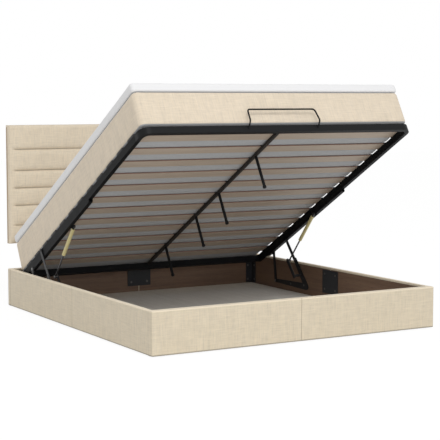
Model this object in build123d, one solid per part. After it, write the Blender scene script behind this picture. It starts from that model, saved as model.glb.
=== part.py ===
from build123d import *
import os
from math import asin, atan2, cos, degrees, hypot, radians, sin

# Ottoman bed, shown with its mattress platform raised on two gas-strut lift mechanisms.
# While it is modelled, X runs across the bed, Y runs from the foot panel's outer face
# towards the head, and Z is up from the floor. "raise_platform" turns the closed
# platform into its raised place. The saved pieces are moved along Y, so that the
# origin lies on the floor in the middle of the footprint.

os.makedirs("parts", exist_ok=True)

overrun = 60.0

# Storage box
bed_width = 1830.0
bed_length = 2030.0
box_height = 240.0
side_thickness = 25.0
end_thickness = 45.0
cover_thickness = 3.0
cover_lip = 12.0
cover_round = 6.0
seam_round = 2.5
seam_gap = 0.6
glide_height = 5.0
glide_radius = 16.0
glide_inset = 60.0

# Plates and brackets inside the box
joint_plate_length = 170.0
joint_plate_height = 150.0
joint_plate_thickness = 4.0
joint_plate_drop = 6.0
bracket_leg = 50.0
bracket_thickness = 4.0
bracket_height = 150.0
bolt_head_radius = 7.0
bolt_head_height = 3.0
bolt_radius = 3.0
bolt_hole_play = 0.2
bolt_length = 14.0
bolt_edge = 26.0

# Storage floor
floor_panel_thickness = 5.0
floor_rail_width = 30.0
floor_rail_height = 24.0
floor_beam_width = 60.0
floor_play = 2.0
floor_foot_radius = 20.0

# Headboard
headboard_width = 1764.0
headboard_height = 770.0
headboard_rise = 148.0
headboard_clearance = 16.0
back_board_thickness = 18.0
back_board_inset = 4.0
pad_thickness = 40.0
pad_seam_depth = 14.0
pad_edge_radius = 16.0
channel_heights = (122.0, 129.0, 113.0, 114.0, 137.0, 161.0)
post_width = 70.0
post_inset = 282.0
post_back_thickness = 25.0
post_top_drop = 120.0

# Raised and closed places of the platform
lift_angle = 29.5
swing_setback = 174.0
swing_rise = 220.0
frame_sink = 15.0
frame_end_gap = 7.0

# Lift mechanism
base_plate_thickness = 4.0
link_thickness = 4.0
side_play = 0.5
front_pin_setback = 605.0
front_pin_rise = 10.0
front_reach = 310.0
rear_pin_angle = 27.5
rear_reach = 254.0
rear_base_reach = 422.7
pin_radius = 5.0
pin_play = 0.05
pin_head_radius = 9.0
pin_head_height = 2.6
link_end_radius = 12.0
plate_arm_radius = 22.0
plate_top_radius = 16.0
plate_foot_length = 135.0
plate_foot_rise = 51.0
strut_pin_setback = 806.0
strut_pin_drop = 13.0
strut_bracket_radius = 13.0
strut_bracket_share = 0.6
strut_web_thickness = 5.0
barrel_radius = 11.0
barrel_wall = 1.5
barrel_cap_length = 8.0
barrel_fitting_length = 22.0
rod_radius = 5.0
rod_reserve = 12.0
piston_length = 10.0
piston_play = 0.3
eye_radius = 9.0
eye_shoulder = 0.3

# Platform frame
tube_width = 25.0
tube_height = 40.0
tube_wall = 2.0
beam_width = 18.0
beam_height = 15.0
bow_corner_radius = 60.0
bow_return = 30.0
lift_rail_setback = 126.0
lift_rail_length = 1017.0
lift_rail_height = 15.0
lift_rail_wall = 3.0
lug_radius = 13.0
leg_radius = 8.5
leg_cap_radius = 11.0
leg_cap_height = 12.0
leg_floor_gap = 14.0
leg_setbacks = (306.0, 768.0, 1096.0, 1581.0)

# Slats
slat_count = 12
slat_width = 70.0
slat_thickness = 8.0
slat_foot_gap = 107.0
slat_head_gap = 90.0
slat_play = 0.3
holder_wall = 2.0

# Pull handle on the foot tube
handle_half_width = 226.0
handle_wire_radius = 4.5
handle_base_rise = 28.0
handle_knee_rise = 53.0
handle_knee_reach = 31.0
handle_top_rise = 128.0
handle_top_reach = 20.0
handle_top_inset = 8.0
handle_bend_radius = 17.0
handle_flange_radius = 9.0
handle_flange_height = 3.0

# Mattress and topper
mattress_head_overhang = 54.0
mattress_height = 205.0
mattress_corner_radius = 32.0
mattress_bulge = 3.0
mattress_edge_radius = 18.0
topper_height = 58.0
topper_corner_radius = 22.0
topper_edge_radius = 13.0
topper_crown = 7.0
soft_gap = 0.3

# Places worked out from the sizes above
half_width = bed_width / 2
inner_half = half_width - side_thickness
middle_y = bed_length / 2
head_inner_y = bed_length - end_thickness
floor_rail_top = glide_height + floor_rail_height
floor_top = floor_rail_top + floor_panel_thickness

swing_y = bed_length - swing_setback
swing_z = box_height + swing_rise
frame_bottom = box_height - frame_sink
frame_top = frame_bottom + tube_height
beam_bottom = frame_top - beam_height
frame_foot_y = end_thickness + frame_end_gap
frame_head_y = head_inner_y - frame_end_gap
frame_length = frame_head_y - frame_foot_y

plate_inner_x = inner_half - base_plate_thickness
link_outer_x = plate_inner_x - side_play
link_inner_x = link_outer_x - link_thickness
frame_half = link_inner_x - 2 * side_play - pin_head_height
tube_inner_x = frame_half - tube_width
strut_x = tube_inner_x - 2 * side_play - barrel_radius
strut_bracket_x = strut_x - barrel_radius - 2 * side_play
eye_thickness = 2 * (rod_radius + eye_shoulder)

mattress_half = frame_half
mattress_bottom = frame_top + slat_thickness + 2 * holder_wall + soft_gap
mattress_foot_y = frame_foot_y
mattress_head_y = frame_head_y + mattress_head_overhang
mattress_length = mattress_head_y - mattress_foot_y
topper_bottom = mattress_bottom + mattress_height + soft_gap
topper_top = topper_bottom + topper_height


# Small helpers

def block(low, high):
    """A box between its lowest and highest corners."""
    low, high = Vector(*low), Vector(*high)
    size = high - low
    return Pos((low + high) * 0.5) * Box(size.X, size.Y, size.Z)


def rod_x(radius, x_from, x_to, y, z):
    """A round bar along X between two places."""
    length = x_to - x_from
    return Pos((x_from + x_to) / 2, y, z) * Rot(Y=90) * Cylinder(radius, abs(length))


def swing(y, z, angle):
    """A point (y, z) turned about the platform's swing centre by an angle in degrees."""
    turn = radians(angle)
    dy, dz = y - swing_y, z - swing_z
    return (swing_y + dy * cos(turn) - dz * sin(turn), swing_z + dy * sin(turn) + dz * cos(turn))


def raised(y, z):
    """Where a point of the closed platform lies once the platform is raised."""
    return swing(y, z, -lift_angle)


def raise_platform(part):
    """Turn a closed platform piece about the swing centre into the raised place."""
    return Pos(0, swing_y, swing_z) * Rot(X=-lift_angle) * Pos(0, -swing_y, -swing_z) * part


def on_left(part):
    """The same piece on the other side of the bed."""
    return mirror(part, about=Plane.YZ)


def both_sides(part):
    """A piece and its mirror image, as separate solids of one group."""
    return Compound([*part.solids(), *on_left(part).solids()])


def group(parts):
    """Separate solids that share one node."""
    return Compound([solid for part in parts for solid in part.solids()])


def between(start, end, share):
    """A point (y, z) on the way from one place to another."""
    return (start[0] + (end[0] - start[0]) * share, start[1] + (end[1] - start[1]) * share)


def bar_between(start, end, start_radius, end_radius, x_from, x_to):
    """A flat bar in the YZ plane with round ends, from one X to another."""
    circles = Sketch() + Pos(*start) * Circle(start_radius) + Pos(*end) * Circle(end_radius)
    outline = make_hull(circles.edges())
    return Pos(x_from, 0, 0) * extrude(Plane.YZ * outline, x_to - x_from)


# Linkage places, as (y, z) pairs

front_base = (bed_length - front_pin_setback, box_height + front_pin_rise)
front_base_distance = hypot(front_base[0] - swing_y, front_base[1] - swing_z)
front_base_heading = atan2(front_base[1] - swing_z, front_base[0] - swing_y)
front_mid = (swing_y + front_reach * cos(front_base_heading),
             swing_z + front_reach * sin(front_base_heading))
front_top_closed = swing(*front_mid, lift_angle / 2)
front_top = swing(*front_mid, -lift_angle / 2)

rear_heading = radians(270 - rear_pin_angle)
rear_base = (swing_y + rear_base_reach * cos(rear_heading), swing_z + rear_base_reach * sin(rear_heading))
rear_mid = (swing_y + rear_reach * cos(rear_heading), swing_z + rear_reach * sin(rear_heading))
rear_top_closed = swing(*rear_mid, lift_angle / 2)
rear_top = swing(*rear_mid, -lift_angle / 2)

strut_top_closed = (frame_head_y - strut_pin_setback, frame_bottom - strut_pin_drop)
strut_top = raised(*strut_top_closed)
strut_closed_length = hypot(strut_top_closed[0] - front_base[0], strut_top_closed[1] - front_base[1])
strut_open_length = hypot(strut_top[0] - front_base[0], strut_top[1] - front_base[1])
strut_heading = degrees(atan2(strut_top[1] - front_base[1], strut_top[0] - front_base[0]))

barrel_length = strut_closed_length - rod_reserve - barrel_fitting_length
stroke = strut_open_length - strut_closed_length
barrel_slack = barrel_length - 2 * barrel_cap_length - piston_length - stroke

headboard_front_y = swing_y + hypot(mattress_head_y - swing_y, topper_top - swing_z) + headboard_clearance
headboard_back_y = headboard_front_y + pad_thickness + back_board_thickness
headboard_bottom = box_height + headboard_rise
post_back_y = headboard_back_y + post_back_thickness
footprint_length = post_back_y + bolt_head_height


# Storage box: upholstered boards, one cross-section for all eight

def wall_board_section(thickness):
    """The board inside a cover: inner face at x = 0, outer side towards +x, height along y."""
    low = glide_height + cover_thickness
    high = box_height - cover_thickness
    board = Pos(0, low) * Rectangle(thickness - cover_thickness, high - low, align=(Align.MIN, Align.MIN))
    rebate = Rectangle(cover_thickness, cover_lip + overrun, align=(Align.MIN, Align.MIN))
    rebate = Pos(0, high - cover_lip) * rebate
    return board - rebate


def wall_panel(thickness, length, end_round):
    """A board and its fabric cover, lying along +Y from 0, outer side towards +X."""
    outline = Rectangle(thickness, box_height - glide_height, align=(Align.MIN, Align.MIN))
    outline = Pos(0, glide_height) * outline
    sleeve = extrude(Plane.XZ * outline, -length)
    uprights = sleeve.edges().filter_by(Axis.Z).group_by(Axis.X)[-1].sort_by(Axis.Y)
    sleeve = fillet(uprights[0], seam_round)
    uprights = sleeve.edges().filter_by(Axis.Z).group_by(Axis.X)[-1].sort_by(Axis.Y)
    sleeve = fillet(uprights[-1], end_round)
    long_edges = sleeve.edges().filter_by(Axis.Y).group_by(Axis.X)[-1]
    sleeve = fillet(long_edges, cover_round)
    board = extrude(Plane.XZ * wall_board_section(thickness), 2 * cover_thickness - length)
    board = Pos(0, cover_thickness, 0) * board
    return board, sleeve - board


def side_panels():
    """Two upholstered halves of the right side."""
    length = middle_y - end_thickness - seam_gap / 2
    board, cover = wall_panel(side_thickness, length, seam_round)
    front = Pos(inner_half, end_thickness, 0)
    rear = Pos(inner_half, middle_y + seam_gap / 2, 0)
    return {"front": (front * board, front * cover), "rear": (rear * board, rear * cover)}


def end_panels(inner_y, turn):
    """Two upholstered halves of the foot or the head of the box."""
    length = half_width - seam_gap / 2
    board, cover = wall_panel(end_thickness, length, cover_round)
    place = Pos(0, inner_y, 0) * Rot(Z=turn) * Pos(0, seam_gap / 2, 0)
    return place * board, place * cover


def wall_bolt_places():
    """Where bolts enter the inner faces of the right side: (y, z) pairs."""
    top = box_height - cover_lip - joint_plate_drop
    rows = (top - bolt_edge, top - joint_plate_height + bolt_edge)
    half = joint_plate_length / 2 - bolt_edge
    return [(middle_y + side * half, z) for side in (-1, 1) for z in rows]


def corner_bolt_rows():
    """Heights of the bolts in each corner bracket."""
    low = floor_top + bolt_edge
    return (low, low + bracket_height - 2 * bolt_edge)


def side_bolts():
    """Bolts of the right side as (y, z, thickness of the metal under the head)."""
    plate = [(y, z, joint_plate_thickness) for y, z in wall_bolt_places()]
    corner_y = (end_thickness + bracket_leg - bolt_edge / 2, head_inner_y - bracket_leg + bolt_edge / 2)
    corner = [(y, z, bracket_thickness) for y in corner_y for z in corner_bolt_rows()]
    base = [(y, z, base_plate_thickness) for y, z in base_plate_bolts()]
    return plate + corner + base


def end_bolts():
    """Bolts of the foot panel's right half as (x, z, thickness of the metal)."""
    top = box_height - cover_lip - joint_plate_drop
    rows = (top - bolt_edge, top - joint_plate_height + bolt_edge)
    plate = [(joint_plate_length / 2 - bolt_edge, z, joint_plate_thickness) for z in rows]
    corner_x = inner_half - bracket_leg + bolt_edge / 2
    corner = [(corner_x, z, bracket_thickness) for z in corner_bolt_rows()]
    return plate + corner


def bolt(metal):
    """A dome-headed bolt pointing along +X, its head's seat at x = 0."""
    shank = rod_x(bolt_radius, 0, metal + bolt_length, 0, 0)
    head = rod_x(bolt_head_radius, -bolt_head_height, 0, 0, 0)
    rim = head.edges().group_by(Axis.X)[0]
    return shank + fillet(rim, bolt_head_height * 0.6)


def bolt_hole(metal):
    """The hole that a bolt needs in the metal and the board behind it."""
    radius = bolt_radius + bolt_hole_play
    return rod_x(radius, -overrun, metal + bolt_length + bolt_hole_play, 0, 0)


def right_side_places():
    """Each bolt of the right side: its place and its metal."""
    return [(Pos(inner_half - metal, y, z), metal) for y, z, metal in side_bolts()]


def foot_half_places():
    """Each bolt of the right half of the foot panel."""
    return [(Pos(x, end_thickness + metal, z) * Rot(Z=-90), metal) for x, z, metal in end_bolts()]


def head_half_places():
    """Each bolt of the right half of the head panel."""
    return [(Pos(x, head_inner_y - metal, z) * Rot(Z=90), metal) for x, z, metal in end_bolts()]


def drilled(part, places):
    """A piece with a hole for each bolt."""
    for place, metal in places:
        part = part - place * bolt_hole(metal)
    return part


def joint_plates():
    """Four plates across the seams of the walls."""
    top = box_height - cover_lip - joint_plate_drop
    low = top - joint_plate_height
    half = joint_plate_length / 2
    skin = joint_plate_thickness
    side = block((inner_half - skin, middle_y - half, low), (inner_half, middle_y + half, top))
    side = drilled(side, right_side_places())
    foot = block((-half, end_thickness, low), (half, end_thickness + joint_plate_thickness, top))
    foot = drilled(drilled(foot, foot_half_places()), mirrored_places(foot_half_places()))
    head = block((-half, head_inner_y - joint_plate_thickness, low), (half, head_inner_y, top))
    head = drilled(drilled(head, head_half_places()), mirrored_places(head_half_places()))
    return group([side, on_left(side), foot, head])


def mirrored_places(places):
    """The same bolt places on the other half of an end panel."""
    mirrored = []
    for place, metal in places:
        position = place.position
        turn = Rot(Z=place.orientation.Z)
        mirrored.append((Pos(-position.X, position.Y, position.Z) * turn, metal))
    return mirrored


def corner_brackets():
    """Four steel angles that join the sides to the foot and the head."""
    low = floor_top + floor_play
    high = low + bracket_height
    angles = []
    ends = ((end_thickness, 1, foot_half_places()), (head_inner_y, -1, head_half_places()))
    for inner_y, way, places in ends:
        leg = bracket_leg * way
        skin = bracket_thickness * way
        y_low, y_high = sorted((inner_y, inner_y + leg))
        s_low, s_high = sorted((inner_y, inner_y + skin))
        side_leg = block((inner_half - bracket_thickness, y_low, low), (inner_half, y_high, high))
        end_leg = block((inner_half - bracket_leg, s_low, low), (inner_half, s_high, high))
        angle = drilled(drilled(side_leg + end_leg, right_side_places()), places)
        angles += [angle, on_left(angle)]
    return group(angles)


def wall_bolts():
    """All bolts of plates and brackets, as separate solids."""
    right = [place * bolt(metal) for place, metal in right_side_places()]
    ends = [place * bolt(metal) for place, metal in foot_half_places() + head_half_places()]
    return both_sides(group(right + ends))


def glides():
    """Round glides under the floor rails."""
    disc = Pos(0, 0, glide_height / 2) * Cylinder(glide_radius, glide_height)
    side_x = inner_half - floor_rail_width / 2
    foot_y = end_thickness + floor_rail_width / 2
    head_y = head_inner_y - floor_rail_width / 2
    places = [(side_x, foot_y), (side_x, head_y), (glide_inset, foot_y), (glide_inset, head_y)]
    discs = [Pos(x, y, 0) * disc for x, y in places]
    discs.append(Pos(side_x, middle_y, 0) * disc)
    return both_sides(group(discs))


# Storage floor

def floor_rails():
    """Timber rails along the walls that carry the floor panels."""
    play = floor_play
    long_rail = block((inner_half - floor_rail_width, end_thickness, glide_height),
                      (inner_half, head_inner_y, floor_rail_top))
    inside = inner_half - floor_rail_width - play
    beam_edge = floor_beam_width / 2 + play
    foot_edge = end_thickness + floor_rail_width
    head_edge = head_inner_y - floor_rail_width
    foot = block((beam_edge, end_thickness, glide_height), (inside, foot_edge, floor_rail_top))
    head = block((beam_edge, head_edge, glide_height), (inside, head_inner_y, floor_rail_top))
    return both_sides(group([long_rail, foot, head]))


def floor_beam():
    """The beam under the middle of the storage floor."""
    half = floor_beam_width / 2
    return block((-half, end_thickness, glide_height), (half, head_inner_y, floor_rail_top))


def floor_feet():
    """Three short feet under the middle beam."""
    foot = Pos(0, 0, glide_height / 2) * Cylinder(floor_foot_radius, glide_height)
    span = head_inner_y - end_thickness
    shares = (0.25, 0.5, 0.75)
    return group([Pos(0, end_thickness + share * span, 0) * foot for share in shares])


def floor_panel(front):
    """The right floor panel of the front or the rear half."""
    y_low = end_thickness + floor_play if front else middle_y + floor_play / 2
    y_high = middle_y - floor_play / 2 if front else head_inner_y - floor_play
    return block((floor_play / 2, y_low, floor_rail_top), (plate_inner_x - floor_play, y_high, floor_top))


# Headboard

def pad_channels():
    """The padded front of the headboard as seen from the side: one bulge for each channel."""
    front = headboard_front_y
    seam = front + pad_seam_depth
    back = front + pad_thickness
    scale = headboard_height / sum(channel_heights)
    z = headboard_bottom
    edges = [Line((back, z), (seam, z))]
    for height in channel_heights:
        top = z + height * scale
        edges.append(ThreePointArc((seam, z), (front, (z + top) / 2), (seam, top)))
        z = top
    edges.append(Line((seam, z), (back, z)))
    edges.append(Line((back, z), (back, headboard_bottom)))
    return make_face(Wire(edges))


def headboard_pad():
    """Six sewn channels across the headboard, with rounded ends."""
    half = headboard_width / 2
    channels = extrude(Plane.YZ * pad_channels(), half, both=True)
    plan = Rectangle(headboard_width, 2 * pad_thickness, align=(Align.CENTER, Align.MIN))
    plan = Pos(0, headboard_front_y) * plan
    plan = fillet(plan.vertices().group_by(Axis.Y)[0], pad_edge_radius)
    ends = Pos(0, 0, headboard_bottom - overrun) * extrude(plan, headboard_height + 2 * overrun)
    return channels & ends


def headboard_board():
    """The board behind the pad, drilled for the posts."""
    half = headboard_width / 2
    front = headboard_front_y + pad_thickness
    low = headboard_bottom + back_board_inset
    high = headboard_bottom + headboard_height - back_board_inset
    edge = half - back_board_inset
    board = block((-edge, front, low), (edge, headboard_back_y, high))
    for x in (-half + post_inset, half - post_inset):
        for z in headboard_bolt_rows():
            board -= Pos(x, headboard_back_y, z) * Rot(Z=-90) * bolt_hole(0)
    return board


def headboard_bolt_rows():
    """Heights of the bolts that hold the headboard to its posts."""
    post_top = headboard_bottom + headboard_height - post_top_drop
    return (headboard_bottom + 3 * bolt_edge, post_top - 3 * bolt_edge)


def headboard_post():
    """The right post: deep behind the box, with a step that the headboard stands on."""
    x = headboard_width / 2 - post_inset
    top = headboard_bottom + headboard_height - post_top_drop
    profile = Polyline(
        (bed_length, 0), (post_back_y, 0), (post_back_y, top), (headboard_back_y, top),
        (headboard_back_y, headboard_bottom), (headboard_front_y, headboard_bottom),
        (headboard_front_y, box_height), (bed_length, box_height), close=True)
    post = Pos(x, 0, 0) * extrude(Plane.YZ * make_face(profile), post_width / 2, both=True)
    for z in headboard_bolt_rows():
        post -= Pos(x, post_back_y, z) * Rot(Z=-90) * bolt_hole(post_back_thickness)
    return post


def headboard_bolts():
    """Bolts through the backs of the posts into the headboard."""
    x = headboard_width / 2 - post_inset
    rows = headboard_bolt_rows()
    metal = post_back_thickness - bolt_hole_play
    bolts = [Pos(x, post_back_y, z) * Rot(Z=-90) * bolt(metal - bolt_length / 2) for z in rows]
    return both_sides(group(bolts))


# Lift mechanism, right side

def base_plate_bolts():
    """Bolts of the base plate, as (y, z)."""
    foot = base_plate_foot()
    lean = (foot[0] + rear_base[0]) / 2
    return [(foot[0] + bolt_edge, foot[1] + bolt_edge / 4), (lean, (foot[1] + rear_base[1]) / 2)]


def base_plate_foot():
    """The lower front corner of the base plate, as the centre of its round end."""
    return (front_base[0] - plate_foot_length, floor_top + plate_foot_rise)


def strut_bracket():
    """The inner arm beside the strut, and the web that joins it to the base plate below the lift rail."""
    foot = base_plate_foot()
    low = between(front_base, foot, strut_bracket_share)
    arm_length = hypot(front_base[0] - low[0], front_base[1] - low[1])
    web_end = between(low, front_base, strut_bracket_radius / arm_length)
    inner = strut_bracket_x - base_plate_thickness
    web_radius = strut_web_thickness / 2
    arm = bar_between(low, front_base, strut_bracket_radius, strut_bracket_radius, inner, strut_bracket_x)
    return arm, bar_between(low, web_end, web_radius, web_radius, strut_bracket_x, plate_inner_x)


def base_plate():
    """The steel plate on the side panel: a sloped arm up to the front pin and a flat arm to the rear pin."""
    foot = base_plate_foot()
    arm = bar_between(foot, front_base, plate_arm_radius, plate_top_radius, plate_inner_x, inner_half)
    flat = bar_between(foot, rear_base, plate_arm_radius, link_end_radius, plate_inner_x, inner_half)
    return group([drilled(arm + flat, right_side_places()), *strut_bracket()])


def base_pins():
    """The fixed pins of the right side: two through the links and one through the strut's eye."""
    head = link_inner_x - side_play
    pins = []
    for place in (front_base, rear_base):
        pin = rod_x(pin_radius, head - pin_head_height, plate_inner_x, *place)
        pins.append(pin + rod_x(pin_head_radius, head - pin_head_height, head, *place))
    eye_out = strut_x + eye_thickness / 2 + side_play
    eye_in = strut_x - eye_thickness / 2 - side_play
    pin = rod_x(pin_radius, strut_bracket_x, eye_out + pin_head_height, *front_base)
    pin += rod_x(pin_head_radius - side_play, strut_bracket_x, eye_in, *front_base)
    pins.append(pin + rod_x(pin_head_radius, eye_out, eye_out + pin_head_height, *front_base))
    return group(pins)


def link_hole(place):
    """A running hole for a pin through a link."""
    return rod_x(pin_radius + pin_play, link_inner_x - overrun, link_outer_x + overrun, *place)


def rear_link():
    """The bar between the rear base pin and the platform."""
    bar = bar_between(rear_base, rear_top, link_end_radius, link_end_radius, link_inner_x, link_outer_x)
    return bar - link_hole(rear_base) - link_hole(rear_top)


def front_link():
    """The bar between the front base pin and its stud at the frame tube."""
    bar = bar_between(front_base, front_top, link_end_radius, link_end_radius, link_inner_x, link_outer_x)
    stud = rod_x(pin_head_radius - side_play, frame_half + side_play, link_inner_x, *front_top)
    head = rod_x(pin_radius + side_play, link_outer_x, link_outer_x + pin_head_height / 2, *front_top)
    return bar - link_hole(front_base) + stud + head


def strut_place(part):
    """Put a strut piece modelled along +Y from the front base pin at its slope."""
    return Pos(strut_x, *front_base) * Rot(X=strut_heading) * part


def rod_y(radius, y_from, y_to):
    """A round bar along +Y."""
    return Pos(0, (y_from + y_to) / 2, 0) * Rot(X=90) * Cylinder(radius, y_to - y_from)


def barrel_low():
    """The barrel's lower end, from the front base pin, at rest."""
    return strut_open_length - strut_closed_length + rod_reserve


def strut_rod():
    """The rod with its eye on the base pin and its piston in the barrel."""
    end = barrel_low() + barrel_cap_length + piston_length + barrel_slack / 2
    eye = Rot(Y=90) * Cylinder(eye_radius, eye_thickness)
    piston_radius = barrel_radius - barrel_wall - piston_play
    rod = rod_y(rod_radius, 0, end) + rod_y(piston_radius, end - piston_length, end)
    hole = Rot(Y=90) * Cylinder(pin_radius + pin_play, eye_thickness + overrun)
    return strut_place(eye + rod - hole)


def strut_barrel():
    """The gas cylinder: a tube with a rod guide, a top fitting and a stud at the frame tube."""
    low = barrel_low()
    top = strut_open_length - barrel_fitting_length
    tube = rod_y(barrel_radius, low, top)
    bore = rod_y(barrel_radius - barrel_wall, low + barrel_cap_length, top - barrel_cap_length)
    guide = rod_y(rod_radius + pin_play, low - overrun, low + barrel_cap_length)
    return strut_place(fillet(tube.edges(), barrel_wall) - bore - guide)


def strut_end():
    """The black fitting between the gas cylinder and the frame tube."""
    low = strut_open_length - barrel_fitting_length
    eye = Pos(0, strut_open_length, 0) * Rot(Y=90) * Cylinder(eye_radius, eye_thickness)
    shank = rod_y(rod_radius + barrel_wall, low, strut_open_length)
    stud = Pos(0, strut_open_length, 0) * Rot(Y=90) * Cylinder(
        pin_radius, tube_inner_x - side_play - strut_x, align=(Align.CENTER, Align.CENTER, Align.MIN))
    return strut_place(eye + shank + stud)


# Platform, modelled closed and then raised

def frame_ring():
    """The hollow tube round the whole platform, with a bow's round corners at the foot."""
    outer = frame_outline(0, bow_corner_radius)
    inner = frame_outline(tube_width, bow_corner_radius - tube_width)
    bore_out = frame_outline(tube_wall, bow_corner_radius - tube_wall)
    bore_in = frame_outline(tube_width - tube_wall, bow_corner_radius - tube_width + tube_wall)
    ring = Pos(0, 0, frame_bottom) * extrude(outer - inner, tube_height)
    bore = Pos(0, 0, frame_bottom + tube_wall) * extrude(bore_out - bore_in, tube_height - 2 * tube_wall)
    return ring - bore


def frame_outline(inset, corner_radius):
    """The frame's outline in plan, drawn in by an inset, with round corners at the foot."""
    half = frame_half - inset
    low, high = frame_foot_y + inset, frame_head_y - inset
    outline = Pos(0, low) * Rectangle(2 * half, high - low, align=(Align.CENTER, Align.MIN))
    return fillet(outline.vertices().group_by(Axis.Y)[0], corner_radius)


def frame_pieces():
    """The foot bow, the right side tube and the head tube, cut from the ring."""
    ring = frame_ring()
    bow_end = frame_foot_y + bow_corner_radius + bow_return
    rail = tube_inner_x
    low, high = frame_bottom - overrun, frame_top + overrun
    wide = frame_half + overrun
    bow = ring & block((-wide, frame_foot_y - overrun, low), (wide, bow_end, high))
    side = ring & block((rail, bow_end, low), (wide, frame_head_y + overrun, high))
    head = ring & block((-rail, frame_head_y - tube_width, low), (rail, frame_head_y, high))
    return bow, side, head


def centre_beam():
    """The hollow beam down the middle of the platform."""
    half = beam_width / 2
    low_y, high_y = frame_foot_y + tube_width, frame_head_y - tube_width
    beam = block((-half, low_y, beam_bottom), (half, high_y, frame_top))
    bore = block((-half + tube_wall, low_y - overrun, beam_bottom + tube_wall),
                 (half - tube_wall, high_y + overrun, frame_top - tube_wall))
    return beam - bore


def leg_places():
    """Where the centre legs stand, along Y."""
    return [frame_head_y - setback for setback in leg_setbacks]


def centre_legs():
    """Four round legs under the middle beam."""
    low = floor_top + leg_floor_gap + leg_cap_height
    leg = Cylinder(leg_radius, beam_bottom - low, align=(Align.CENTER, Align.CENTER, Align.MIN))
    return group([Pos(0, y, low) * leg for y in leg_places()])


def leg_caps():
    """Plastic feet on the centre legs."""
    low = floor_top + leg_floor_gap
    cap = Cylinder(leg_cap_radius, leg_cap_height, align=(Align.CENTER, Align.CENTER, Align.MIN))
    cap = chamfer(cap.edges().group_by(Axis.Z)[0], leg_cap_height / 4)
    return group([Pos(0, y, low) * cap for y in leg_places()])


def lift_lug(place, x_from, x_to):
    """A rounded lug that hangs from the frame round a pin."""
    y, z = place
    lug = bar_between(place, (y, frame_bottom), lug_radius, lug_radius, x_from, x_to)
    return lug & block((x_from, y - overrun, z - overrun), (x_to, y + overrun, frame_bottom))


def lift_rail():
    """The flat tube under the right side tube that the lift mechanism carries, with its two lugs."""
    high_y = frame_head_y - lift_rail_setback
    low_y = high_y - lift_rail_length
    top = frame_bottom
    low = top - lift_rail_height
    inner_wall = tube_inner_x + lift_rail_wall
    outer_wall = frame_half - lift_rail_wall
    rail = block((tube_inner_x, low_y, low), (frame_half, high_y, top))
    rail = chamfer(rail.edges().filter_by(Axis.X).group_by(Axis.Z)[0], lift_rail_height / 3)
    hollow = block((inner_wall, low_y - overrun, low + lift_rail_wall),
                   (outer_wall, high_y + overrun, top - lift_rail_wall))
    rail = rail - hollow + lift_lug(strut_top_closed, tube_inner_x, inner_wall)
    return rail + lift_lug(rear_top_closed, outer_wall, frame_half)


def platform_pins():
    """The pin on each lift rail that turns in the rear link."""
    y, z = rear_top_closed
    pin = rod_x(pin_radius, frame_half, link_outer_x + side_play, y, z)
    pin += rod_x(pin_head_radius - side_play, frame_half, link_inner_x - side_play / 2, y, z)
    head = link_outer_x + side_play / 2
    return both_sides(pin + rod_x(pin_head_radius, head, head + pin_head_height, y, z))


def slat_edges():
    """The low-Y edge of each slat's place, from the foot towards the head."""
    first = frame_foot_y + slat_foot_gap
    pitch = (frame_head_y - slat_head_gap - slat_width - first) / (slat_count - 1)
    return [first + row * pitch for row in range(slat_count)]


def slats():
    """The right row of slats."""
    low = frame_top + holder_wall
    x_low, x_high = holder_wall + slat_play, frame_half - holder_wall - slat_play
    slat = block((x_low, 0, low), (x_high, slat_width, low + slat_thickness))
    slat = fillet(slat.edges().filter_by(Axis.X), slat_thickness / 4)
    return group([Pos(0, y, 0) * slat for y in slat_edges()])


def slat_holder(x_low, x_high, closed_low):
    """A plastic cap over a slat's end, open on one side."""
    edge = holder_wall + slat_play
    low, high = frame_top, frame_top + slat_thickness + 2 * holder_wall
    cap = block((x_low, -edge, low), (x_high, slat_width + edge, high))
    mouth_low = x_low + holder_wall if closed_low else x_low - overrun
    mouth_high = x_high + overrun if closed_low else x_high - holder_wall
    mouth = block((mouth_low, -slat_play, low + holder_wall - slat_play / 2),
                  (mouth_high, slat_width + slat_play, high - holder_wall + slat_play / 2))
    return cap - mouth


def side_holders():
    """Caps on the side tubes, for both rows."""
    cap = slat_holder(tube_inner_x, frame_half, False)
    return both_sides(group([Pos(0, y, 0) * cap for y in slat_edges()]))


def centre_holders():
    """Caps on the middle beam, for both rows."""
    cap = slat_holder(side_play / 2, beam_width / 2, True)
    return both_sides(group([Pos(0, y, 0) * cap for y in slat_edges()]))


def pull_handle():
    """The bent wire handle on the foot tube."""
    face = frame_foot_y
    base = frame_bottom + handle_base_rise
    half = handle_half_width
    knee_y, knee_z = face - handle_knee_reach, frame_bottom + handle_knee_rise
    top_y, top_z = face - handle_top_reach, frame_bottom + handle_top_rise
    top_x = half - handle_top_inset
    root = handle_wire_radius
    rise = root * (handle_knee_rise - handle_base_rise) / handle_knee_reach
    right = [(half, face + root, base - rise), (half, knee_y, knee_z), (top_x, top_y, top_z)]
    left = [(-x, y, z) for x, y, z in reversed(right)]
    path = FilletPolyline(*right, *left, radius=handle_bend_radius)
    start = Vector(*right[0])
    wire = sweep(Plane(start, z_dir=path % 0) * Circle(handle_wire_radius), path)
    seat = (Align.CENTER, Align.CENTER, Align.MIN)
    flange = Rot(X=90) * Cylinder(handle_flange_radius, handle_flange_height, align=seat)
    wire += Pos(half, face, base) * flange + Pos(-half, face, base) * flange
    return wire & block((-bed_width, face - overrun * 2, 0), (bed_width, face, box_height + bed_width))


def bulged_block(bottom, height, corner_radius):
    """A padded block whose sides lean out towards a line half-way up."""
    slope = degrees(atan2(mattress_bulge, height / 2))
    plan = RectangleRounded(2 * mattress_half, mattress_length, corner_radius)
    upper = extrude(plan, height / 2, taper=slope)
    block_pair = upper + mirror(upper, about=Plane.XY)
    return Pos(0, mattress_foot_y + mattress_length / 2, bottom + height / 2) * block_pair


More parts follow.
